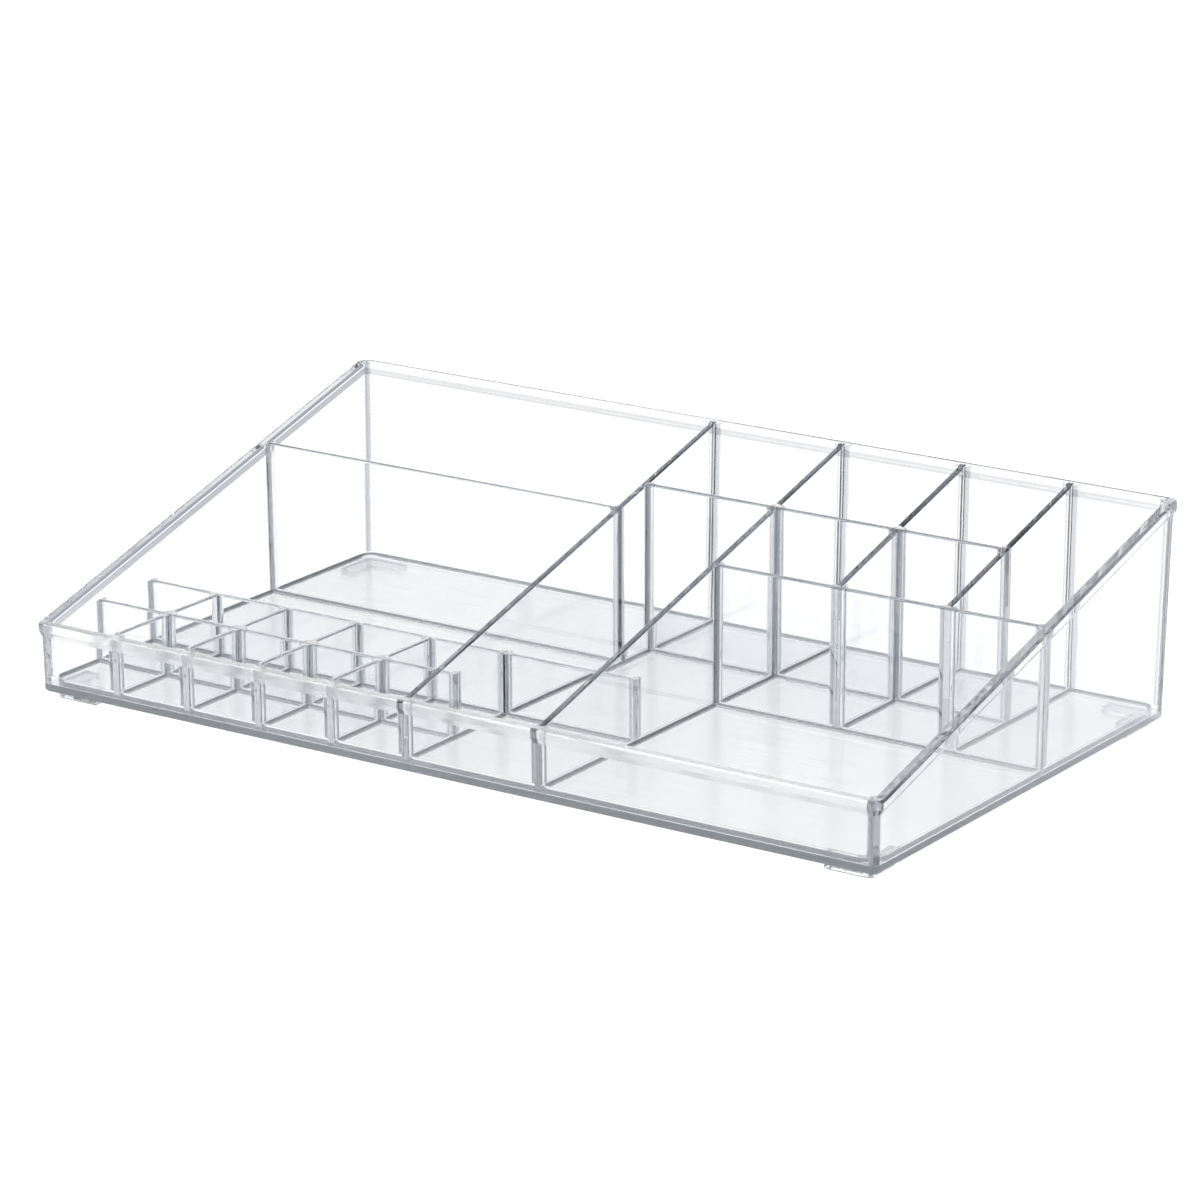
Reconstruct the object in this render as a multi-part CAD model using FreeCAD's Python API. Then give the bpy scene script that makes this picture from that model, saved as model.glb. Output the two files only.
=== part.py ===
import FreeCAD, Part
import math
import os

from FreeCAD import Vector

# Clear vanity organizer: an open tray of bonded sheets with sloping sides.
# Millimetres. +X is to the right, +Y to the back, +Z up.
# The origin is under the middle of the whole object, on the surface that it stands on.

# Heights, measured from the underside of the base plate
back_height = 79.0
lip_height = 25.5
lipstick_height = 26.5

# Sheets
base_edge = 3.0
floor_step = 1.0
wall_thickness = 3.0
panel_thickness = 2.4
wall_flare_degrees = 1.0

# Rim along the tops of the four outer walls; its lower part slopes back to the wall
rim_height = 5.2
rim_taper = 2.2
rim_proud = 1.2

# Clear widths of the columns from left to right, measured at the floor
lipstick_columns = 5
lipstick_cell_width = 28.8
centre_column_width = 52.2
inner_column_width = 47.4
outer_column_width = 40.8
brush_column_width = 34.4

# Clear depths of the rows on the right, from the front to the back, and of the front ones on the left
front_tray_depth = 105.4
middle_row_depth = 37.0
rear_row_depth = 41.8
lipstick_cell_depth = 26.6
left_bin_depth = 69.4

# Joints between the sheets
bond_gap = 0.1
housing_depth = 0.8
halving_share = 0.5

# Coves, which are hollow roundings in the upright corners between sheets, and the thickness of their edges
cove_radius = 1.7
cove_edge = 0.2

# Bevelled ribs around the floor and along the feet of the panels
rib_height = 1.2

# Rounding and bevels, and the most of a sheet's thickness that they may take, on one edge and on both
corner_radius = 2.6
floor_corner_radius = 6.0
base_bottom_bevel = 0.8
rim_round = 1.0
panel_edge_round = 0.7
one_edge_share = 0.9
both_edges_share = 0.45

# Corner feet
foot_height = 3.0
foot_leg_length = 18.0
foot_leg_width = 6.0
foot_inset = 3.5
foot_corner_bevel = 1.5
foot_bottom_bevel = 0.8

# How far a cutting block runs past what it cuts
cut_overrun = 1.0

# Two places are the same one when they are closer than this share of a panel's thickness.
same_place_share = 0.001
same_place = panel_thickness * same_place_share

# Roundings and bevels as the sheets allow them
wall_corner = min(corner_radius, wall_thickness * one_edge_share)
base_bevel = min(base_bottom_bevel, base_edge * one_edge_share)
rim_edge = min(rim_round, wall_thickness * both_edges_share)
panel_edge = min(panel_edge_round, panel_thickness * both_edges_share)
rim_slope = min(rim_taper, (rim_height - rim_edge) * one_edge_share)
foot_corner = min(foot_corner_bevel, foot_leg_width * both_edges_share)
foot_bevel = min(foot_bottom_bevel, foot_height * both_edges_share)

# A cove reaches this far along both sides of its corner, and is rooted this deep in the sheet that has it.
cove_leg = cove_radius + cove_edge
cove_root = min(max(rim_edge, panel_edge), panel_thickness * both_edges_share)

# Levels
base_level = foot_height
ledge_level = base_level + base_edge
floor_level = ledge_level + floor_step
panel_bottom = floor_level + bond_gap
wall_bottom = ledge_level + bond_gap
lip_top = base_level + lip_height
back_top = base_level + back_height
lip_rim_bottom = lip_top - rim_height
lip_rim_face = lip_rim_bottom + rim_slope
back_rim_bottom = back_top - rim_height
lipstick_top = base_level + lipstick_height

# The coves start above the ribs of the floor.
rib_top = floor_level + rib_height
cove_foot = rib_top + bond_gap

flare_slope = math.tan(math.radians(wall_flare_degrees))


def lean(level):
    """How far the outer walls have leaned outwards at a level."""
    return (level - ledge_level) * flare_slope


# The footprint follows from the columns and rows, with the outer walls around them.
column_pitch = lipstick_cell_width + panel_thickness
lipstick_block_width = column_pitch * lipstick_columns
other_columns = [centre_column_width, inner_column_width, outer_column_width, brush_column_width]
inside_width = lipstick_block_width + sum(other_columns) + panel_thickness * (len(other_columns) - 1)
rows = [front_tray_depth, middle_row_depth, rear_row_depth]
inside_depth = sum(rows) + panel_thickness * (len(rows) - 1)
wall_foot = wall_thickness - lean(floor_level)
base_width = inside_width + wall_foot * 2
base_depth = inside_depth + wall_foot * 2

# The rim overhangs the base more at the back than at the front, so the base stands off centre.
front_overhang = lean(lip_top) + rim_proud
back_overhang = lean(back_top) + rim_proud
base_front = (front_overhang - base_depth - back_overhang) / 2
base_back = base_front + base_depth


def outer_x(level):
    """Outside of a side wall, as a distance from the middle."""
    return base_width / 2 + lean(level)


def inner_x(level):
    """Inside of a side wall, as a distance from the middle."""
    return outer_x(level) - wall_thickness


def front_outer_y(level):
    """Outside of the front lip."""
    return base_front - lean(level)


def front_inner_y(level):
    """Inside of the front lip."""
    return front_outer_y(level) + wall_thickness


def back_outer_y(level):
    """Outside of the back wall."""
    return base_back + lean(level)


def back_inner_y(level):
    """Inside of the back wall."""
    return back_outer_y(level) - wall_thickness


# The side walls and the partitions share one slope, from the lip to the back wall.
slope_front_y = front_inner_y(lip_top)
slope_back_y = back_inner_y(back_top)
top_slope = (back_top - lip_top) / (slope_back_y - slope_front_y)


def slope_level(y):
    """Level of the sloping top at a depth."""
    return lip_top + (y - slope_front_y) * top_slope


# A panel's end goes this far past the face that it is housed in.
reach = housing_depth - bond_gap

# Left faces of the panels that run front to back
floor_left = -inner_x(floor_level)
divider_xs = [floor_left + column_pitch * i - panel_thickness for i in range(1, lipstick_columns)]
left_main_x = floor_left + lipstick_block_width - panel_thickness
right_main_x = left_main_x + panel_thickness + centre_column_width
centre_short_x = right_main_x + panel_thickness + inner_column_width
right_short_x = centre_short_x + panel_thickness + outer_column_width

# Front faces of the panels that run left to right
floor_front = front_inner_y(floor_level)
middle_rail_y = floor_front + lipstick_cell_depth
back_rail_y = middle_rail_y + panel_thickness + lipstick_cell_depth
left_rear_y = back_rail_y + panel_thickness + left_bin_depth
front_cross_y = floor_front + front_tray_depth
rear_cross_y = front_cross_y + panel_thickness + middle_row_depth

upright = Vector(0, 0, 1)


def unit(vector):
    """The direction of a vector."""
    return Vector(vector).normalize()


def square_to(axis, vector):
    """The direction of the part of a vector that is square to an axis."""
    return unit(vector - axis * axis.dot(vector))


def flat_face(points):
    """A flat face with straight sides between points."""
    return Part.Face(Part.makePolygon(points + points[:1]))


def slab(points, thickness, grow=0):
    """A flat outline with a thickness; grow makes it that much larger on every side."""
    outline = flat_face(points)
    if grow:
        outline = outline.makeOffset2D(grow, join=2)
        outline.translate(unit(thickness) * -grow)
    return outline.extrude(thickness + unit(thickness) * (grow * 2))


def round_edges(shape, radius, chosen):
    """Round the edges that a test picks."""
    return shape.makeFillet(radius, [edge for edge in shape.Edges if chosen(edge)])


def lies_at(edge, ends):
    """Whether an edge runs between one of the given pairs of points."""
    return any(edge.CenterOfMass.isEqual((a + b) / 2, same_place) for a, b in ends)


def lies_on(edge, level_at):
    """Whether an edge's ends are on a top whose level at each y is given by a function."""
    return all(abs(vertex.Z - level_at(vertex.Y)) < same_place for vertex in edge.Vertexes)


def bevel_bottom(shape, size):
    """Bevel the edges around the underside."""
    low = shape.BoundBox.ZMin
    return shape.makeChamfer(size, [edge for edge in shape.Edges if lies_on(edge, lambda y: low)])


def cove_section(corner, out, away):
    """Section of a cove: out points out of the face that has it, and away from the sheet beside it."""
    centre = corner + (out + away) * cove_leg
    start = centre - out * cove_radius
    middle = centre - unit(out + away) * cove_radius
    end = centre - away * cove_radius
    root = corner - out * cove_root
    straight = Part.makePolygon([end, corner + out * cove_leg, root, root + away * cove_leg, start])
    return Part.Face(Part.Wire([*straight.Edges, Part.Arc(start, middle, end).toShape()]))


class Sheet:
    """A flat piece: an outer wall, a partition, a cross wall, a rail or a divider.

    Its outline is a list of points on its first face, its thickness is the vector from there to its second
    face, and up is the way its faces rise. Of its faces, -1 and 1, cove_faces are those with coves.
    """

    def __init__(self, points, thickness, solid, up=upright, cove_faces=(-1, 1)):
        self.points = points
        self.thickness = thickness
        self.solid = solid
        self.up = up
        self.cove_faces = cove_faces

    def seat(self):
        """The space that the sheet needs in another piece, with room for the bond."""
        return slab(self.points, self.thickness, bond_gap)

    def thickened(self, extra):
        """The plain sheet, made thicker on both faces."""
        more = unit(self.thickness) * extra
        return slab([point - more for point in self.points], self.thickness + more * 2)

    def face_at(self, face, room=0):
        """Where a face is, along the thickness, at the foot of the coves; room is added outside it."""
        across = unit(self.thickness)
        first = self.points[0] + self.up * (cove_foot - self.points[0].z)
        middle = first + self.thickness / 2
        return across * (middle.dot(across) + face * (self.thickness.Length / 2 + room))

    def cut(self, tool):
        """Take the tool's space out of the sheet."""
        self.solid = self.solid.cut(tool)

    def house(self, *incoming):
        """Cut a housing for the end of each incoming sheet, with a cove on both sides of it."""
        for other in incoming:
            self.cut(other.seat())
            self.flank(other)

    def flank(self, other):
        """Add a cove in each corner that the sheet makes with another one."""
        rise = unit(self.up + other.up - upright)
        across = square_to(rise, self.thickness)
        along = square_to(rise, other.thickness)
        near_both = self.thickened(cove_leg).common(other.thickened(cove_leg + bond_gap))
        for face in self.cove_faces:
            for side in (-1, 1):
                corner = self.face_at(face) + other.face_at(side, bond_gap) + upright * cove_foot
                section = cove_section(corner, across * face, along * side)
                cove = section.extrude(rise * back_height).common(near_both)
                if cove.Solids:
                    self.solid = self.solid.fuse(cove).removeSplitter()

    def foot_ribs(self):
        """The ribs along the sheet's foot, one on each side, which belong to the floor."""
        along = unit(self.thickness)
        run = upright.cross(along)
        foot = [point.dot(run) for point in self.points if abs(point.z - panel_bottom) < same_place]
        for side in (-1, 1):
            corner = self.face_at(side, bond_gap) + run * min(foot) + upright * floor_level
            away = along * (side * rib_height)
            root = corner - upright * floor_step
            section = flat_face([corner + upright * rib_height, root, root + away, corner + away])
            yield section.extrude(run * (max(foot) - min(foot)))


def panel(points, thickness, top_edge):
    """A sheet inside the outer walls, rounded on both faces along the edge between two points."""
    far_edge = tuple(point + thickness for point in top_edge)
    blank = slab(points, thickness)
    rounded = round_edges(blank, panel_edge, lambda edge: lies_at(edge, [top_edge, far_edge]))
    return Sheet(points, thickness, rounded)


def halve(standing, dropped):
    """Let two crossing panels into each other: one is dropped over the standing one, between its coves."""
    crossing = standing.seat().common(dropped.seat()).BoundBox
    meeting = crossing.ZMin + crossing.ZLength * halving_share

    def column(low, high):
        corner = Vector(crossing.XMin, crossing.YMin, low)
        return Part.makeBox(crossing.XLength, crossing.YLength, high - low, corner)

    standing.cut(column(meeting, back_top + cut_overrun))
    standing.flank(dropped)
    dropped.cut(column(floor_level - cut_overrun, meeting + bond_gap))


def long_panel(x, outline, top_edge):
    """A panel that runs front to back, from (y, z) points."""
    points = [Vector(x, y, z) for y, z in outline]
    ends = tuple(Vector(x, y, z) for y, z in top_edge)
    return panel(points, Vector(panel_thickness, 0, 0), ends)


def cross_panel(y, left_end, right_end, top):
    """A panel that runs left to right; each end is a function that gives its x at a level."""
    outline = [
        (left_end(panel_bottom), panel_bottom),
        (right_end(panel_bottom), panel_bottom),
        (right_end(top), top),
        (left_end(top), top),
    ]
    points = [Vector(x, y, z) for x, z in outline]
    return panel(points, Vector(0, panel_thickness, 0), (points[2], points[3]))


def sloping_panel(x, front_end):
    """A partition whose top follows the slope to the back wall; front_end runs from the bottom up."""
    back_end = [
        (slope_back_y, back_top),
        (back_inner_y(back_top) + reach, back_top),
        (back_inner_y(panel_bottom) + reach, panel_bottom),
    ]
    return long_panel(x, front_end + back_end, (front_end[-1], back_end[0]))


def main_partition(x):
    """A full-depth partition, with a tongue that goes right through the rim of the front lip."""
    tongue_front = front_outer_y(lip_top) - rim_proud
    partition = sloping_panel(x, [
        (front_inner_y(panel_bottom) - reach, panel_bottom),
        (front_inner_y(lip_rim_bottom) - reach, lip_rim_bottom),
        (front_outer_y(lip_rim_bottom), lip_rim_bottom),
        (front_outer_y(lip_rim_face) - rim_proud, lip_rim_face),
        (tongue_front, lip_top),
        (slope_front_y, lip_top),
    ])
    nose = Vector(x, tongue_front, lip_top)
    partition.solid = round_edges(
        partition.solid, rim_edge, lambda edge: lies_at(edge, [(nose, nose + partition.thickness)]))
    return partition


def short_partition(x):
    """A partition that starts from the front cross wall."""
    front = front_cross_y + panel_thickness - reach
    return sloping_panel(x, [(front, panel_bottom), (front, slope_level(front))])


def lipstick_divider(x):
    """A low divider from the front lip to the back rail; what stands above the lip stops behind it."""
    back = back_rail_y + reach
    top_edge = ((front_inner_y(lipstick_top) - reach, lipstick_top), (back, lipstick_top))
    bottom = [(back, panel_bottom), (front_inner_y(panel_bottom) - reach, panel_bottom)]
    divider = long_panel(x, [*top_edge, *bottom], top_edge)
    over_lip = Vector(x - cut_overrun, front_inner_y(lip_top) - wall_thickness, lip_top)
    divider.cut(Part.makeBox(panel_thickness + cut_overrun * 2, wall_thickness, back_height, over_lip))
    return divider


def to_left_wall(level):
    """End of a panel that is housed in the left side wall."""
    return -inner_x(level) - reach


def to_right_wall(level):
    """End of a panel that is housed in the right side wall."""
    return inner_x(level) + reach


def to_left_face(x):
    """End of a panel that is housed in the left face of a partition."""
    return lambda level: x + reach


def to_right_face(x):
    """End of a panel that is housed in the right face of a partition."""
    return lambda level: x + panel_thickness - reach


def side_top(y):
    """Level of the top of a side wall: low along the front, then up the slope, then high."""
    return min(max(slope_level(y), lip_top), back_top)


def under_rim(foot, out, run):
    """The space under the slope of a rim, along a run from a point where the slope starts from the wall."""
    rise = out * rim_proud + upright * rim_slope
    beyond = foot + rise * 2
    below = beyond - upright * (rim_slope * 2 + cut_overrun)
    return slab([foot, beyond, below], run)


def under_rim_end(side, end, outer_y, low):
    """The space under the slope of a side wall's rim, round its front (end -1) or back (end 1) corner."""
    out = Vector(0, end, 0)
    aslant = unit(Vector(side, end, 0))
    corner = Vector(side * (outer_x(low) - wall_corner), outer_y(low) - end * wall_corner, low)
    tangent = upright.cross(aslant) * (wall_corner + rim_proud)
    across = Vector(side * base_width, 0, 0)
    straight = under_rim(Vector(0, outer_y(low), low), out, across)
    return [straight, under_rim(corner + aslant * wall_corner - tangent, aslant, tangent * 2)]


def side_wall(side):
    """A side wall with its rim; side is -1 left or 1 right."""
    inwards = Vector(-side * wall_thickness, 0, 0)
    proud = Vector(side * rim_proud, 0, 0)

    def outside(outline):
        return [Vector(side * outer_x(z), y, z) for y, z in outline]

    def rounded_slab_at(points, corners, thickness, radius):
        return round_edges(slab(points, thickness), radius, lambda edge: lies_at(edge, corners))

    top = outside([(slope_back_y, back_top), (slope_front_y, lip_top)])
    wall_front = outside([(front_outer_y(z), z) for z in (lip_top, wall_bottom)])
    wall_back = outside([(back_outer_y(z), z) for z in (wall_bottom, back_top)])
    outline = [*wall_front, *wall_back, *top]
    wall = rounded_slab_at(outline, [wall_front, wall_back], inwards, wall_corner)
    rim_front = outside([(front_outer_y(z) - rim_proud, z) for z in (lip_top, lip_rim_bottom)])
    rim_bottom = outside([(slope_front_y, lip_rim_bottom), (slope_back_y, back_rim_bottom)])
    rim_back = outside([(back_outer_y(z) + rim_proud, z) for z in (back_rim_bottom, back_top)])
    rim_points = [point + proud for point in [*rim_front, *rim_bottom, *rim_back, *top]]
    rim_corners = [[point + proud for point in end] for end in (rim_front, rim_back)]
    rim = rounded_slab_at(rim_points, rim_corners, inwards - proud, wall_corner + rim_proud)
    past_end = Vector(0, wall_thickness + rim_proud + cut_overrun, 0)
    rim = rim.cut([
        under_rim(rim_bottom[0], unit(proud), rim_bottom[1] - rim_bottom[0]),
        under_rim(rim_bottom[0] - past_end, unit(proud), past_end),
        under_rim(rim_bottom[1], unit(proud), past_end),
        *under_rim_end(side, -1, front_outer_y, lip_rim_bottom),
        *under_rim_end(side, 1, back_outer_y, back_rim_bottom),
    ])
    rimmed = wall.fuse(rim).removeSplitter()
    rounded = round_edges(
        rimmed, rim_edge, lambda edge: lies_on(edge, side_top) and edge.BoundBox.YLength > same_place)
    return Sheet(outline, inwards, rounded, Vector(side * flare_slope, 0, 1), [1])


def end_wall(outer_y, top, inwards):
    """The front lip or the back wall, which fits between the side walls, with its rim."""
    outwards = unit(inwards) * -1
    proud = outwards * rim_proud

    def outside(low, room):
        levels = [(-1, low), (1, low), (1, top), (-1, top)]
        return [Vector(side * (inner_x(z) - room), outer_y(z), z) for side, z in levels]

    wall = slab(outside(wall_bottom, bond_gap), inwards)
    rim_foot = outside(top - rim_height, bond_gap)
    rim = slab([point + proud for point in rim_foot], inwards - proud)
    rim = rim.cut(under_rim(rim_foot[0], outwards, rim_foot[1] - rim_foot[0]))
    rimmed = wall.fuse(rim).removeSplitter()
    rounded = round_edges(
        rimmed, rim_edge, lambda edge: lies_on(edge, lambda y: top) and edge.BoundBox.XLength > same_place)
    return Sheet(outside(wall_bottom, -cove_root), inwards, rounded, upright + outwards * flare_slope, [1])


def rounded_slab(left, right, front, back, low, high, radius):
    """A flat slab with rounded upright corners."""
    block = Part.makeBox(right - left, back - front, high - low, Vector(left, front, low))
    return round_edges(block, radius, lambda edge: edge.BoundBox.ZLength > same_place)


def base_plate(panels):
    """The base: a plate with an exposed edge, and a raised floor, ribbed around it and along the panels."""
    half = base_width / 2
    plate = rounded_slab(-half, half, base_front, base_back, base_level, ledge_level, wall_corner)
    plate = bevel_bottom(plate, base_bevel)

    def inside_walls(room, low, high):
        side = inner_x(ledge_level) - room
        front = front_inner_y(ledge_level) + room
        back = back_inner_y(ledge_level) - room
        return rounded_slab(-side, side, front, back, low, high, floor_corner_radius - room)

    floor = inside_walls(bond_gap, ledge_level, rib_top)
    hollow = inside_walls(bond_gap + cove_edge, floor_level, rib_top + cut_overrun)
    hollow = bevel_bottom(hollow, rib_height)
    ribs = [rib.common(floor) for each in panels for rib in each.foot_ribs()]
    base = plate.fuse([floor.cut(hollow), *ribs]).removeSplitter()
    return base.cut([each.seat() for each in panels])


def corner_foot(side, end):
    """An angle-shaped foot under a corner; side is -1 left or 1 right, end is -1 front or 1 rear."""
    corner_x = base_width / 2 - foot_inset
    corner_y = (base_back if end > 0 else -base_front) - foot_inset
    steps = [
        (0, foot_corner),
        (foot_corner, 0),
        (foot_leg_length, 0),
        (foot_leg_length, foot_leg_width),
        (foot_leg_width, foot_leg_width),
        (foot_leg_width, foot_leg_length),
        (0, foot_leg_length),
    ]
    top = base_level - bond_gap
    points = [Vector(side * (corner_x - dx), end * (corner_y - dy), top) for dx, dy in steps]
    return bevel_bottom(slab(points, upright * -top), foot_bevel)


# Panels
left_main = main_partition(left_main_x)
right_main = main_partition(right_main_x)
centre_short = short_partition(centre_short_x)
right_short = short_partition(right_short_x)
front_cross = cross_panel(
    front_cross_y, to_right_face(right_main_x), to_right_wall, slope_level(front_cross_y))
rear_cross = cross_panel(
    rear_cross_y, to_right_face(left_main_x), to_left_face(right_short_x), slope_level(rear_cross_y))
left_rear = cross_panel(
    left_rear_y, to_left_wall, to_left_face(left_main_x), slope_level(left_rear_y))
middle_rail = cross_panel(middle_rail_y, to_left_wall, to_left_face(left_main_x), lipstick_top)
back_rail = cross_panel(back_rail_y, to_left_wall, to_left_face(right_main_x), lipstick_top)
dividers = [lipstick_divider(x) for x in divider_xs]

# Outer walls
left_wall = side_wall(-1)
right_wall = side_wall(1)
front_lip = end_wall(front_outer_y, lip_top, Vector(0, wall_thickness, 0))
back_wall = end_wall(back_outer_y, back_top, Vector(0, -wall_thickness, 0))

# Corners and housings of the outer walls
for wall in (left_wall, right_wall):
    wall.flank(front_lip)
    wall.flank(back_wall)
right_wall.house(front_cross)
left_wall.house(left_rear, middle_rail, back_rail)
front_lip.house(left_main, right_main, *dividers)
back_wall.house(left_main, right_main, centre_short, right_short)

# Housings in the panels
left_main.house(left_rear, middle_rail, rear_cross)
right_main.house(front_cross, back_rail)
right_short.house(rear_cross)
front_cross.house(centre_short, right_short)
back_rail.house(*dividers)

# Halved crossings
halve(back_rail, left_main)
halve(right_main, rear_cross)
halve(centre_short, rear_cross)
for divider in dividers:
    halve(divider, middle_rail)

sheets = {
    "left_side_wall": left_wall,
    "right_side_wall": right_wall,
    "front_lip": front_lip,
    "back_wall": back_wall,
    "left_main_partition": left_main,
    "right_main_partition": right_main,
    "centre_short_partition": centre_short,
    "right_short_partition": right_short,
    "front_cross_wall": front_cross,
    "rear_cross_wall": rear_cross,
    "left_rear_divider": left_rear,
    "lipstick_middle_rail": middle_rail,
    "lipstick_back_rail": back_rail,
}
for number, divider in enumerate(dividers, start=1):
    sheets[f"lipstick_divider_{number}"] = divider
outer_walls = (left_wall, right_wall, front_lip, back_wall)
nodes = {name: each.solid for name, each in sheets.items()}
nodes["base_plate"] = base_plate([each for each in sheets.values() if each not in outer_walls])
nodes["foot_front_left"] = corner_foot(-1, -1)
nodes["foot_front_right"] = corner_foot(1, -1)
nodes["foot_rear_left"] = corner_foot(-1, 1)
nodes["foot_rear_right"] = corner_foot(1, 1)

os.makedirs("parts", exist_ok=True)
for name, shape in nodes.items():
    shape.exportStep(f"parts/{name}.step")
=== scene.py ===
import logging
import math
from dataclasses import dataclass
from enum import Enum

import bpy
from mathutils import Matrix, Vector

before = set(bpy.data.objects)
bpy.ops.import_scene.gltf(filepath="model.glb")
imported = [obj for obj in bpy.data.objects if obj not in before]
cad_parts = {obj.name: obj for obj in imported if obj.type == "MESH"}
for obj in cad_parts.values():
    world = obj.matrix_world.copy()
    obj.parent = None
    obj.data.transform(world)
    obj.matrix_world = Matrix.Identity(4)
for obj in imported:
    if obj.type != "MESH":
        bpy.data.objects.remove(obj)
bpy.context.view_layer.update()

log = logging.getLogger("vanity_organizer")

MM = 0.001

# Levels that lie above and below every piece
ABOVE_ALL = 1.0
BELOW_ALL = -1.0

Colour = tuple[float, float, float]
Feed = float | bpy.types.NodeSocket


class Path(Enum):
    """Kinds of light path that a surface answers in its own way."""

    CAMERA = "Is Camera Ray"
    GLOSSY = "Is Glossy Ray"
    TRANSMISSION = "Is Transmission Ray"
    SHADOW = "Is Shadow Ray"
    DIFFUSE = "Is Diffuse Ray"


SEEN_PATHS = (Path.CAMERA, Path.GLOSSY, Path.TRANSMISSION)
LAMP_PATHS = (Path.SHADOW, Path.DIFFUSE)


def opaque(colour: Colour) -> tuple[float, float, float, float]:
    """Give a colour the full alpha that colour sockets ask for."""
    return (*colour, 1.0)


WHITE = opaque((1.0, 1.0, 1.0))


class Nodes:
    """A node tree with short ways to add nodes and to join them."""

    def __init__(self, tree: bpy.types.NodeTree) -> None:
        """Keep the tree, emptied of its first nodes."""
        self.tree = tree
        tree.nodes.clear()

    def add(self, kind: str, values: dict | None = None, **settings: object) -> bpy.types.Node:
        """Add a node.

        Args:
            kind: Blender's name of the node type.
            values: Input name or number, to a plain value or to the socket that feeds it.
            **settings: Properties of the node itself.

        Returns:
            The new node.
        """
        node = self.tree.nodes.new(kind)
        for name, value in settings.items():
            setattr(node, name, value)
        for name, value in (values or {}).items():
            if isinstance(value, bpy.types.NodeSocket):
                self.tree.links.new(value, node.inputs[name])
            else:
                node.inputs[name].default_value = value
        return node

    def maths(self, operation: str, first: Feed, second: Feed) -> bpy.types.NodeSocket:
        """Put two values or sockets through one Math operation."""
        return self.add("ShaderNodeMath", {0: first, 1: second}, operation=operation).outputs[0]

    def ramp(
        self, value: Feed, low: Feed, high: Feed, at_low: float = 0.0, at_high: float = 1.0,
    ) -> bpy.types.NodeSocket:
        """Map a value between two limits onto a range, and hold it there beyond them.

        Args:
            value: What is mapped.
            low: Lower limit of the value.
            high: Upper limit of the value.
            at_low: Result at the lower limit.
            at_high: Result at the upper limit.

        Returns:
            The mapped value.
        """
        limits = {"From Min": low, "From Max": high, "To Min": at_low, "To Max": at_high}
        return self.add("ShaderNodeMapRange", {"Value": value, **limits}).outputs["Result"]

    def blend(self, share: Feed, first: Feed, second: Feed) -> bpy.types.NodeSocket:
        """Mix two colours; a share of 1 gives the second one."""
        return self.add("ShaderNodeMix", {0: share, 6: first, 7: second}, data_type="RGBA").outputs[2]

    def any_path(self, paths: tuple[Path, ...]) -> bpy.types.NodeSocket:
        """Tell some kinds of light path from the others.

        Args:
            paths: The kinds of path.

        Returns:
            A value that is 1 on the named kinds of path, and 0 on the others.
        """
        light_path = self.add("ShaderNodeLightPath")
        found = light_path.outputs[paths[0].value]
        for path in paths[1:]:
            found = self.maths("MAXIMUM", found, light_path.outputs[path.value])
        return found


def add_sockets(tree: bpy.types.NodeTree, side: str, kind: str, names: tuple[str, ...]) -> None:
    """Give a node group named sockets.

    Args:
        tree: The group.
        side: INPUT or OUTPUT.
        kind: Blender's name of the socket type.
        names: The sockets' names.
    """
    for name in names:
        tree.interface.new_socket(name, in_out=side, socket_type=kind)


class HandlingMarks:
    """Shared effect: hairline scratches, smudges and a slow waviness of the sheet."""

    NAME = "Handling Marks"
    BLOTCHES_PER_METRE = 42.0
    BLOTCH_LIMITS = (0.52, 0.72)
    HAIRLINE_TURNS = (0.4, -0.9)
    HAIRLINES_PER_METRE = (30.0, 900.0, 900.0)
    HAIRLINE_LIMITS = (0.72, 0.78)

    @classmethod
    def group(cls) -> bpy.types.NodeTree:
        """Build the group once, and give it on every later call."""
        return bpy.data.node_groups.get(cls.NAME) or cls._build()

    @classmethod
    def _build(cls) -> bpy.types.NodeTree:
        """Lay out the group's nodes.

        Returns:
            The group.
        """
        tree = bpy.data.node_groups.new(cls.NAME, "ShaderNodeTree")
        nodes = Nodes(tree)
        add_sockets(tree, "INPUT", "NodeSocketFloat", ("Smudge", "Scratch", "Waves Per Metre"))
        add_sockets(tree, "OUTPUT", "NodeSocketFloat", ("Roughness", "Height"))
        given = nodes.add("NodeGroupInput").outputs
        place = nodes.add("ShaderNodeTexCoord").outputs["Object"]
        blotches = nodes.add("ShaderNodeTexNoise", {
            "Vector": place, "Scale": cls.BLOTCHES_PER_METRE, "Detail": 3.0})
        smudge = nodes.ramp(blotches.outputs["Fac"], *cls.BLOTCH_LIMITS)
        one_way, other_way = (cls._hairlines(nodes, place, turn) for turn in cls.HAIRLINE_TURNS)
        hairlines = nodes.maths("MAXIMUM", one_way, other_way)
        smudged = nodes.maths("MULTIPLY", smudge, given["Smudge"])
        scratched = nodes.maths("MULTIPLY", hairlines, given["Scratch"])
        waves = nodes.add("ShaderNodeTexNoise", {
            "Vector": place, "Scale": given["Waves Per Metre"], "Detail": 1.0})
        nodes.add("NodeGroupOutput", {
            "Roughness": nodes.maths("ADD", smudged, scratched), "Height": waves.outputs["Fac"]})
        return tree

    @classmethod
    def _hairlines(cls, nodes: Nodes, place: bpy.types.NodeSocket, turn: float) -> bpy.types.NodeSocket:
        """Make a mask of sparse hairlines.

        Args:
            nodes: The group's nodes.
            place: Coordinates on the piece.
            turn: Turn of the lines, in radians.

        Returns:
            A mask that is 1 on a hairline.
        """
        turned = nodes.add("ShaderNodeMapping", {
            "Vector": place, "Rotation": (turn, turn, turn), "Scale": cls.HAIRLINES_PER_METRE})
        noise = nodes.add("ShaderNodeTexNoise", {
            "Vector": turned.outputs["Vector"], "Scale": 1.0, "Detail": 0.0})
        return nodes.ramp(noise.outputs["Fac"], *cls.HAIRLINE_LIMITS)


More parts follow.
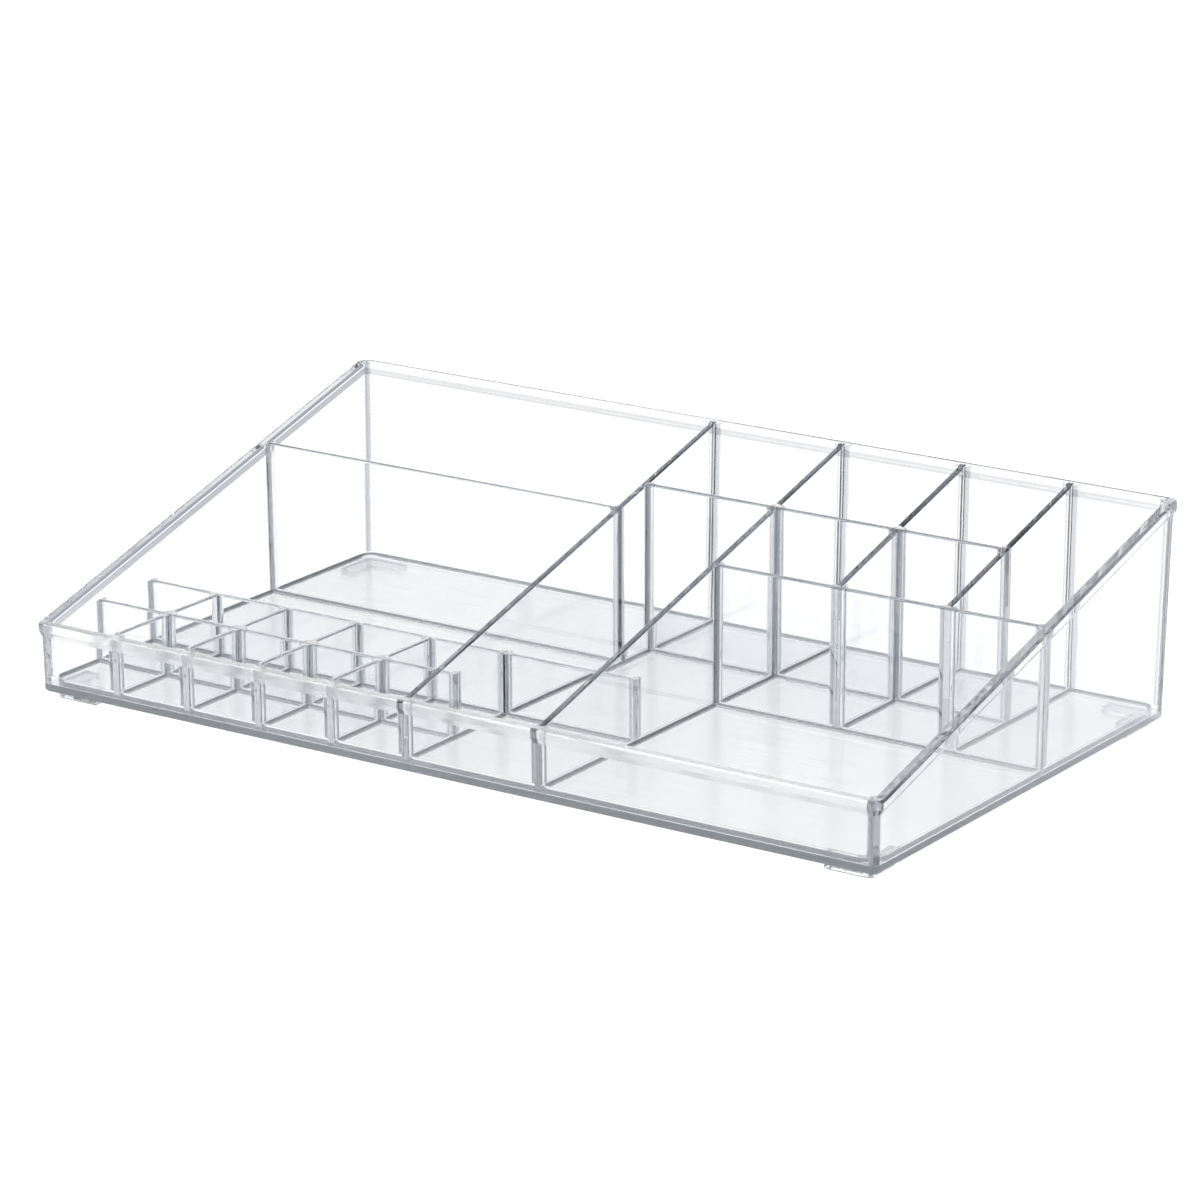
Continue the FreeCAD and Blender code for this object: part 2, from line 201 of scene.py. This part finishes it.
class PaintedEdgeShade:
    """Shared effect: shade painted into the colour of coves, ribs, bevels and roundings, while the broad
    faces stay clear.
    """

    NAME = "Painted Edge Shade"
    # Colour sockets: the face tint, partly painted shade, and the painted shade of edges and coves
    TINTS_AND_PAINTED_SHADES = ("Face Tint And Painted Shade", "Edge Tint", "Cove Painted Shade")
    VALUES = ("Mottle", "Clear From", "Clear To", "Shaded From", "Rim From", "Band To")
    # Parts of a face's normal between which a face passes from slanting to upright, and to level
    UPRIGHT_LIMITS = (0.985, 0.995)
    LEVEL_LIMITS = (0.93, 0.955)
    # Upward part of the normal between which a rounding passes from a cove to an edge
    COVE_LIMITS = (0.1, 0.2)
    CLOUDS_PER_METRE = 9.0

    @classmethod
    def group(cls) -> bpy.types.NodeTree:
        """Build the group once, and give it on every later call."""
        return bpy.data.node_groups.get(cls.NAME) or cls._build()

    @classmethod
    def _build(cls) -> bpy.types.NodeTree:
        """Lay out the group's nodes.

        Returns:
            The group.
        """
        tree = bpy.data.node_groups.new(cls.NAME, "ShaderNodeTree")
        nodes = Nodes(tree)
        add_sockets(tree, "INPUT", "NodeSocketColor", cls.TINTS_AND_PAINTED_SHADES)
        add_sockets(tree, "INPUT", "NodeSocketFloat", cls.VALUES)
        add_sockets(tree, "OUTPUT", "NodeSocketColor", ("Colour",))
        add_sockets(tree, "OUTPUT", "NodeSocketFloat", ("Edge",))
        given = nodes.add("NodeGroupInput").outputs
        normal = nodes.add("ShaderNodeNewGeometry").outputs["True Normal"]
        facing = nodes.add("ShaderNodeVectorMath", {0: normal}, operation="ABSOLUTE").outputs["Vector"]
        parts = nodes.add("ShaderNodeSeparateXYZ", {0: facing}).outputs
        place = nodes.add("ShaderNodeTexCoord").outputs["Object"]
        level = nodes.add("ShaderNodeSeparateXYZ", {0: place}).outputs["Z"]
        edge = cls._edges(nodes, given, parts, level)
        rim = nodes.maths("GREATER_THAN", level, given["Rim From"])
        # Painted shade: edges take the cove or edge shade colour in place of the face tint, and above the
        # rim level every face takes the edge colour
        along = nodes.blend(
            nodes.ramp(parts["Z"], *cls.COVE_LIMITS), given["Cove Painted Shade"], given["Edge Tint"])
        colour = nodes.blend(edge, given["Face Tint And Painted Shade"], along)
        colour = nodes.blend(rim, colour, given["Edge Tint"])
        cloud = nodes.add("ShaderNodeTexNoise", {
            "Vector": place, "Scale": cls.CLOUDS_PER_METRE, "Detail": 2.0}).outputs["Fac"]
        dim = nodes.maths("SUBTRACT", 1.0, nodes.maths("MULTIPLY", cloud, given["Mottle"]))
        mottled = nodes.add("ShaderNodeVectorMath", {0: colour, "Scale": dim}, operation="SCALE")
        nodes.add("NodeGroupOutput", {
            "Colour": mottled.outputs["Vector"], "Edge": nodes.maths("MAXIMUM", edge, rim)})
        return tree

    @classmethod
    def _edges(
        cls, nodes: Nodes, given: bpy.types.NodeOutputs, parts: bpy.types.NodeOutputs,
        level: bpy.types.NodeSocket,
    ) -> bpy.types.NodeSocket:
        """Make a mask of the edges, where shade is painted into the colour.

        Args:
            nodes: The group's nodes.
            given: The group's inputs.
            parts: Sizes of the three parts of the face's normal.
            level: Height above the ground.

        Returns:
            A mask that is 1 on slanting faces, except at the clear levels, and on the band.
        """
        sideways = nodes.maths("MAXIMUM", parts["X"], parts["Y"])
        not_upright = nodes.ramp(sideways, *cls.UPRIGHT_LIMITS, 1.0, 0.0)
        not_level = nodes.ramp(parts["Z"], *cls.LEVEL_LIMITS, 1.0, 0.0)
        slanting = nodes.maths("MINIMUM", not_upright, not_level)
        below = nodes.maths("LESS_THAN", level, given["Clear From"])
        above = nodes.ramp(level, given["Clear To"], given["Shaded From"])
        shaded = nodes.maths("MULTIPLY", slanting, nodes.maths("MAXIMUM", below, above))
        banded = nodes.maths("LESS_THAN", level, given["Band To"])
        return nodes.maths("MAXIMUM", shaded, nodes.maths("MULTIPLY", not_level, banded))


@dataclass(frozen=True)
class ShadeLevels:
    """Heights above the ground at which a piece's painted shade changes.

    From clear_from to clear_to the edges are clear of painted shade, and from there to shaded_from it
    comes back.
    Above rim_from all faces have the painted shade colour and haze of an edge. Below band_to all but the
    level faces have it.
    """

    clear_from: float = ABOVE_ALL
    clear_to: float = ABOVE_ALL
    shaded_from: float = 2 * ABOVE_ALL
    rim_from: float = ABOVE_ALL
    band_to: float = BELOW_ALL


@dataclass(frozen=True)
class ClearPlastic:
    """A clear, polished plastic with painted shade along its edges."""

    name: str
    # Face tint: the plastic's own tint, deepened in some finishes as painted shade; edge and cove tints:
    # painted shade along edges and in coves
    face_tint_and_painted_shade: Colour = (0.98, 0.983, 0.988)
    edge_painted_shade: Colour = (0.21, 0.235, 0.27)
    cove_painted_shade: Colour = (0.25, 0.275, 0.31)
    mirror_tint: Colour = (0.93, 0.935, 0.94)
    lamp_tint: Colour = (0.955, 0.96, 0.965)
    face_haze: float = 0.0
    edge_haze: float = 0.03
    mottle: float = 0.01
    smudge: float = 0.02
    scratch: float = 0.05
    absorbed: Colour = (0.58, 0.605, 0.64)
    density: float = 12.0
    ior: float = 1.49
    levels: ShadeLevels = ShadeLevels()

    def material(self, wave_pitch: float, wave_depth: float) -> bpy.types.Material:
        """Build the material.

        Args:
            wave_pitch: Distance between the slow waves of the sheet.
            wave_depth: Depth of the waves.

        Returns:
            Glass that bends and mirrors what is seen through it, and that lets the lamps' light through.
        """
        made = bpy.data.materials.new(self.name)
        made.use_nodes = True
        nodes = Nodes(made.node_tree)
        shade = self._shade(nodes)
        marks = nodes.add("ShaderNodeGroup", {
            "Smudge": self.smudge, "Scratch": self.scratch, "Waves Per Metre": 1.0 / wave_pitch,
        }, node_tree=HandlingMarks.group())
        haze = nodes.ramp(shade.outputs["Edge"], 0.0, 1.0, self.face_haze, self.edge_haze)
        bump = nodes.add("ShaderNodeBump", {
            "Strength": 1.0, "Distance": wave_depth, "Height": marks.outputs["Height"]})
        plastic = nodes.add("ShaderNodeBsdfPrincipled", {
            # Base Color carries the painted edge shade
            "Base Color": shade.outputs["Colour"],
            "Roughness": nodes.maths("ADD", marks.outputs["Roughness"], haze),
            "IOR": self.ior,
            "Specular Tint": opaque(self.mirror_tint),
            "Transmission Weight": 1.0,
            "Normal": bump.outputs["Normal"],
        })
        through = nodes.add("ShaderNodeBsdfTransparent", {"Color": opaque(self.lamp_tint)})
        surface = nodes.add("ShaderNodeMixShader", {
            0: nodes.any_path(LAMP_PATHS), 1: plastic.outputs["BSDF"], 2: through.outputs["BSDF"]})
        body = nodes.add("ShaderNodeVolumeAbsorption", {
            "Color": opaque(self.absorbed), "Density": self.density})
        nodes.add("ShaderNodeOutputMaterial", {
            "Surface": surface.outputs["Shader"], "Volume": body.outputs["Volume"]})
        return made

    def _shade(self, nodes: Nodes) -> bpy.types.Node:
        """Place the painted edge shade with this finish's values.

        Args:
            nodes: The material's nodes.

        Returns:
            The group's node.
        """
        return nodes.add("ShaderNodeGroup", {
            "Face Tint And Painted Shade": opaque(self.face_tint_and_painted_shade),
            "Edge Tint": opaque(self.edge_painted_shade),
            "Cove Painted Shade": opaque(self.cove_painted_shade),
            "Mottle": self.mottle,
            "Clear From": self.levels.clear_from,
            "Clear To": self.levels.clear_to,
            "Shaded From": self.levels.shaded_from,
            "Rim From": self.levels.rim_from,
            "Band To": self.levels.band_to,
        }, node_tree=PaintedEdgeShade.group())


@dataclass
class SubAssembly:
    """Pieces of the frame that are made from one stock and share its finish."""

    finish: ClearPlastic
    pieces: tuple[str, ...]
    wave_pitch: float = 30 * MM
    wave_depth: float = 0.05 * MM

    def build(self) -> list[bpy.types.Object]:
        """Find the pieces in the frame, which gives their shapes.

        Returns:
            The pieces' objects.
        """
        found = [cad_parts[piece] for piece in self.pieces]
        for node in found:
            log.info("%s: %d faces", node.name, len(node.data.polygons))
        return found

    def dress(self, found: list[bpy.types.Object]) -> None:
        """Give each piece the finish.

        Args:
            found: The pieces' objects.
        """
        material = self.finish.material(self.wave_pitch, self.wave_depth)
        for node in found:
            node.data.materials.clear()
            node.data.materials.append(material)
            log.info("%s: dressed in %s", node.name, material.name)


@dataclass
class Base(SubAssembly):
    """The base plate with its raised floor, its ribs, with painted shade along their tops, and painted
    shade on its outer band.
    """

    finish: ClearPlastic = ClearPlastic(
        "clear base",
        # Grey face tint: painted shade of the floor seen through; edge tint: painted shade on the rib tops
        # and the outer band
        face_tint_and_painted_shade=(0.97, 0.973, 0.978),
        edge_painted_shade=(0.23, 0.25, 0.285),
        cove_painted_shade=(0.60, 0.62, 0.655),
        mirror_tint=(0.90, 0.905, 0.915),
        lamp_tint=(0.94, 0.943, 0.947),
        face_haze=0.16,
        edge_haze=0.4,
        mottle=0.03,
        levels=ShadeLevels(
            clear_from=6.1 * MM, clear_to=7.2 * MM, shaded_from=7.6 * MM, band_to=6.05 * MM),
    )
    pieces: tuple[str, ...] = ("base_plate",)
    wave_pitch: float = 40 * MM


@dataclass
class CornerFeet(SubAssembly):
    """The four feet under the corners of the base."""

    finish: ClearPlastic = ClearPlastic(
        "clear foot",
        face_tint_and_painted_shade=(0.975, 0.98, 0.985),
        # Dark edge tint: painted shade as outlines along the feet's bevels
        edge_painted_shade=(0.10, 0.115, 0.14),
    )
    pieces: tuple[str, ...] = (
        "foot_front_left", "foot_front_right", "foot_rear_left", "foot_rear_right")
    wave_pitch: float = 12 * MM
    wave_depth: float = 0.03 * MM


@dataclass
class SideWalls(SubAssembly):
    """The two sloping sides, with painted shade as dark lines along their rims, and faces greyed by
    painted shade.
    """

    finish: ClearPlastic = ClearPlastic(
        "clear side",
        # Grey face tint and dark edge tint: painted shade
        face_tint_and_painted_shade=(0.92, 0.926, 0.936),
        edge_painted_shade=(0.29, 0.31, 0.345),
        cove_painted_shade=(0.44, 0.46, 0.49),
        mirror_tint=(1.0, 1.0, 1.0),
        density=4.0,
    )
    pieces: tuple[str, ...] = ("left_side_wall", "right_side_wall")


@dataclass
class BackWall(SubAssembly):
    """The tall back, with only light painted shade along its rim."""

    finish: ClearPlastic = ClearPlastic(
        "clear back",
        # Light edge tint and darker cove tint: painted shade
        edge_painted_shade=(0.72, 0.735, 0.76),
        cove_painted_shade=(0.36, 0.38, 0.41),
    )
    pieces: tuple[str, ...] = ("back_wall",)


@dataclass
class FrontLip(SubAssembly):
    """The low front, whose rim is slightly frosted."""

    finish: ClearPlastic = ClearPlastic(
        "clear lip",
        # Grey face tint and dark cove tint: painted shade; the white edge tint leaves the frosted rim
        # without painted shade
        face_tint_and_painted_shade=(0.945, 0.95, 0.958),
        edge_painted_shade=(1.0, 1.0, 1.0),
        cove_painted_shade=(0.17, 0.19, 0.22),
        mirror_tint=(0.97, 0.975, 0.98),
        edge_haze=0.22,
        levels=ShadeLevels(rim_from=23.3 * MM),
    )
    pieces: tuple[str, ...] = ("front_lip",)


@dataclass
class PaletteDivider(SubAssembly):
    """The cross wall in front of the palette slot."""

    finish: ClearPlastic = ClearPlastic(
        "clear divider",
        # Edge and cove tints: painted shade
        edge_painted_shade=(0.55, 0.57, 0.60),
        cove_painted_shade=(0.4, 0.42, 0.45),
    )
    pieces: tuple[str, ...] = ("left_rear_divider",)


@dataclass
class Partitions(SubAssembly):
    """The sloping partitions and the tall cross walls between them."""

    # Default edge and cove tints: painted shade
    finish: ClearPlastic = ClearPlastic("clear panel")
    pieces: tuple[str, ...] = (
        "left_main_partition", "right_main_partition",
        "centre_short_partition", "right_short_partition",
        "front_cross_wall", "rear_cross_wall")


@dataclass
class LipstickGrid(SubAssembly):
    """The low rails and dividers of the lipstick cells."""

    finish: ClearPlastic = ClearPlastic(
        "clear low panel",
        # Edge and cove tints: painted shade
        edge_painted_shade=(0.48, 0.505, 0.54),
        cove_painted_shade=(0.32, 0.345, 0.38),
    )
    pieces: tuple[str, ...] = (
        "lipstick_middle_rail", "lipstick_back_rail",
        "lipstick_divider_1", "lipstick_divider_2", "lipstick_divider_3", "lipstick_divider_4")
    wave_pitch: float = 22 * MM
    wave_depth: float = 0.03 * MM


@dataclass
class Studio:
    """Floor, surroundings, lamp and camera."""

    floor_size: float = 12.0
    floor_drop: float = 0.1 * MM
    floor_colour: Colour = (0.80, 0.80, 0.80)
    floor_glow: float = 0.6
    surround_glow: float = 1.0
    ceiling_glow: float = 0.25
    ceiling_limits: tuple[float, float] = (0.45, 0.8)
    fill_glow: float = 0.55
    lamp_place: tuple[float, float, float] = (-0.7, -0.5, 1.5)
    lamp_width: float = 1.2
    lamp_depth: float = 0.8
    lamp_power: float = 12.0
    azimuth: float = 33.891
    elevation: float = 17.044
    distance: float = 1.8267
    aim_right: float = 0.15 * MM
    aim_up: float = 40.98 * MM
    focal_share: float = 5229.0 / 1200.0
    sensor: float = 36.0
    view_depth: float = 100.0
    bounces: int = 40

    def build(self) -> None:
        """Make the whole stage."""
        self._floor()
        self._surroundings()
        self._lamp()
        self._camera()
        self._light_paths()

    def _floor(self) -> None:
        """Lay the pale floor, which keeps the object's shadow."""
        half = self.floor_size / 2
        corners = [(-half, -half, 0), (half, -half, 0), (half, half, 0), (-half, half, 0)]
        mesh = bpy.data.meshes.new("floor")
        mesh.from_pydata(corners, [], [(0, 1, 2, 3)])
        floor = bpy.data.objects.new("floor", mesh)
        floor.location.z = -self.floor_drop
        bpy.context.scene.collection.objects.link(floor)
        material = bpy.data.materials.new("floor paper")
        material.use_nodes = True
        nodes = Nodes(material.node_tree)
        paper = nodes.add("ShaderNodeBsdfDiffuse", {"Color": opaque(self.floor_colour)})
        glow = nodes.add("ShaderNodeEmission", {
            "Color": WHITE,
            "Strength": nodes.maths("MULTIPLY", nodes.any_path(SEEN_PATHS), self.floor_glow)})
        both = nodes.add("ShaderNodeAddShader", {0: paper.outputs["BSDF"], 1: glow.outputs["Emission"]})
        nodes.add("ShaderNodeOutputMaterial", {"Surface": both.outputs["Shader"]})
        mesh.materials.append(material)

    def _surroundings(self) -> None:
        """Set the white surroundings that are seen, and the even light that isn't."""
        world = bpy.data.worlds.new("studio")
        world.use_nodes = True
        bpy.context.scene.world = world
        nodes = Nodes(world.node_tree)
        way = nodes.add("ShaderNodeTexCoord").outputs["Generated"]
        height = nodes.add("ShaderNodeSeparateXYZ", {0: way}).outputs["Z"]
        ceiling_from, ceiling_full = self.ceiling_limits
        glow = nodes.add("ShaderNodeMapRange", {
            "Value": height, "From Min": ceiling_from, "From Max": ceiling_full,
            "To Min": self.surround_glow, "To Max": self.ceiling_glow,
        }, interpolation_type="SMOOTHSTEP")
        seen = nodes.add("ShaderNodeBackground", {"Color": WHITE, "Strength": glow.outputs["Result"]})
        fill = nodes.add("ShaderNodeBackground", {"Color": WHITE, "Strength": self.fill_glow})
        both = nodes.add("ShaderNodeMixShader", {
            0: nodes.any_path(SEEN_PATHS), 1: fill.outputs["Background"], 2: seen.outputs["Background"]})
        nodes.add("ShaderNodeOutputWorld", {"Surface": both.outputs["Shader"]})

    def _lamp(self) -> None:
        """Hang one large soft lamp over the left front, aimed at the object."""
        lamp = bpy.data.lights.new("softbox", "AREA")
        lamp.shape = "RECTANGLE"
        lamp.size = self.lamp_width
        lamp.size_y = self.lamp_depth
        lamp.energy = self.lamp_power
        softbox = bpy.data.objects.new("softbox", lamp)
        softbox.location = self.lamp_place
        softbox.rotation_euler = (-softbox.location).to_track_quat("-Z", "Y").to_euler()
        bpy.context.scene.collection.objects.link(softbox)

    def _camera(self) -> None:
        """Place the camera at the photograph's viewing angle."""
        turn = math.radians(self.azimuth)
        rise = math.radians(self.elevation)
        away = Vector((
            math.sin(turn) * math.cos(rise), -math.cos(turn) * math.cos(rise), math.sin(rise)))
        right = Vector((math.cos(turn), math.sin(turn), 0))
        aim = right * self.aim_right + Vector((0, 0, self.aim_up))
        lens = bpy.data.cameras.new("camera")
        lens.sensor_width = self.sensor
        lens.lens = self.sensor * self.focal_share
        lens.clip_end = self.view_depth
        camera = bpy.data.objects.new("camera", lens)
        camera.location = aim + away * self.distance
        camera.rotation_euler = (-away).to_track_quat("-Z", "Y").to_euler()
        bpy.context.scene.collection.objects.link(camera)
        bpy.context.scene.camera = camera

    def _light_paths(self) -> None:
        """Show colours as they are, and follow light through all the sheets behind one another."""
        scene = bpy.context.scene
        scene.view_settings.view_transform = "Standard"
        scene.cycles.max_bounces = self.bounces
        scene.cycles.transmission_bounces = self.bounces
        scene.cycles.glossy_bounces = self.bounces
        scene.cycles.transparent_max_bounces = self.bounces


def main() -> None:
    """Dress the organizer and set the stage."""
    logging.basicConfig(level=logging.INFO, format="%(name)s %(message)s")
    assemblies = (
        Base(), CornerFeet(), SideWalls(), BackWall(), FrontLip(),
        PaletteDivider(), Partitions(), LipstickGrid())
    for assembly in assemblies:
        assembly.dress(assembly.build())
    Studio().build()


if __name__ == "__main__":
    main()
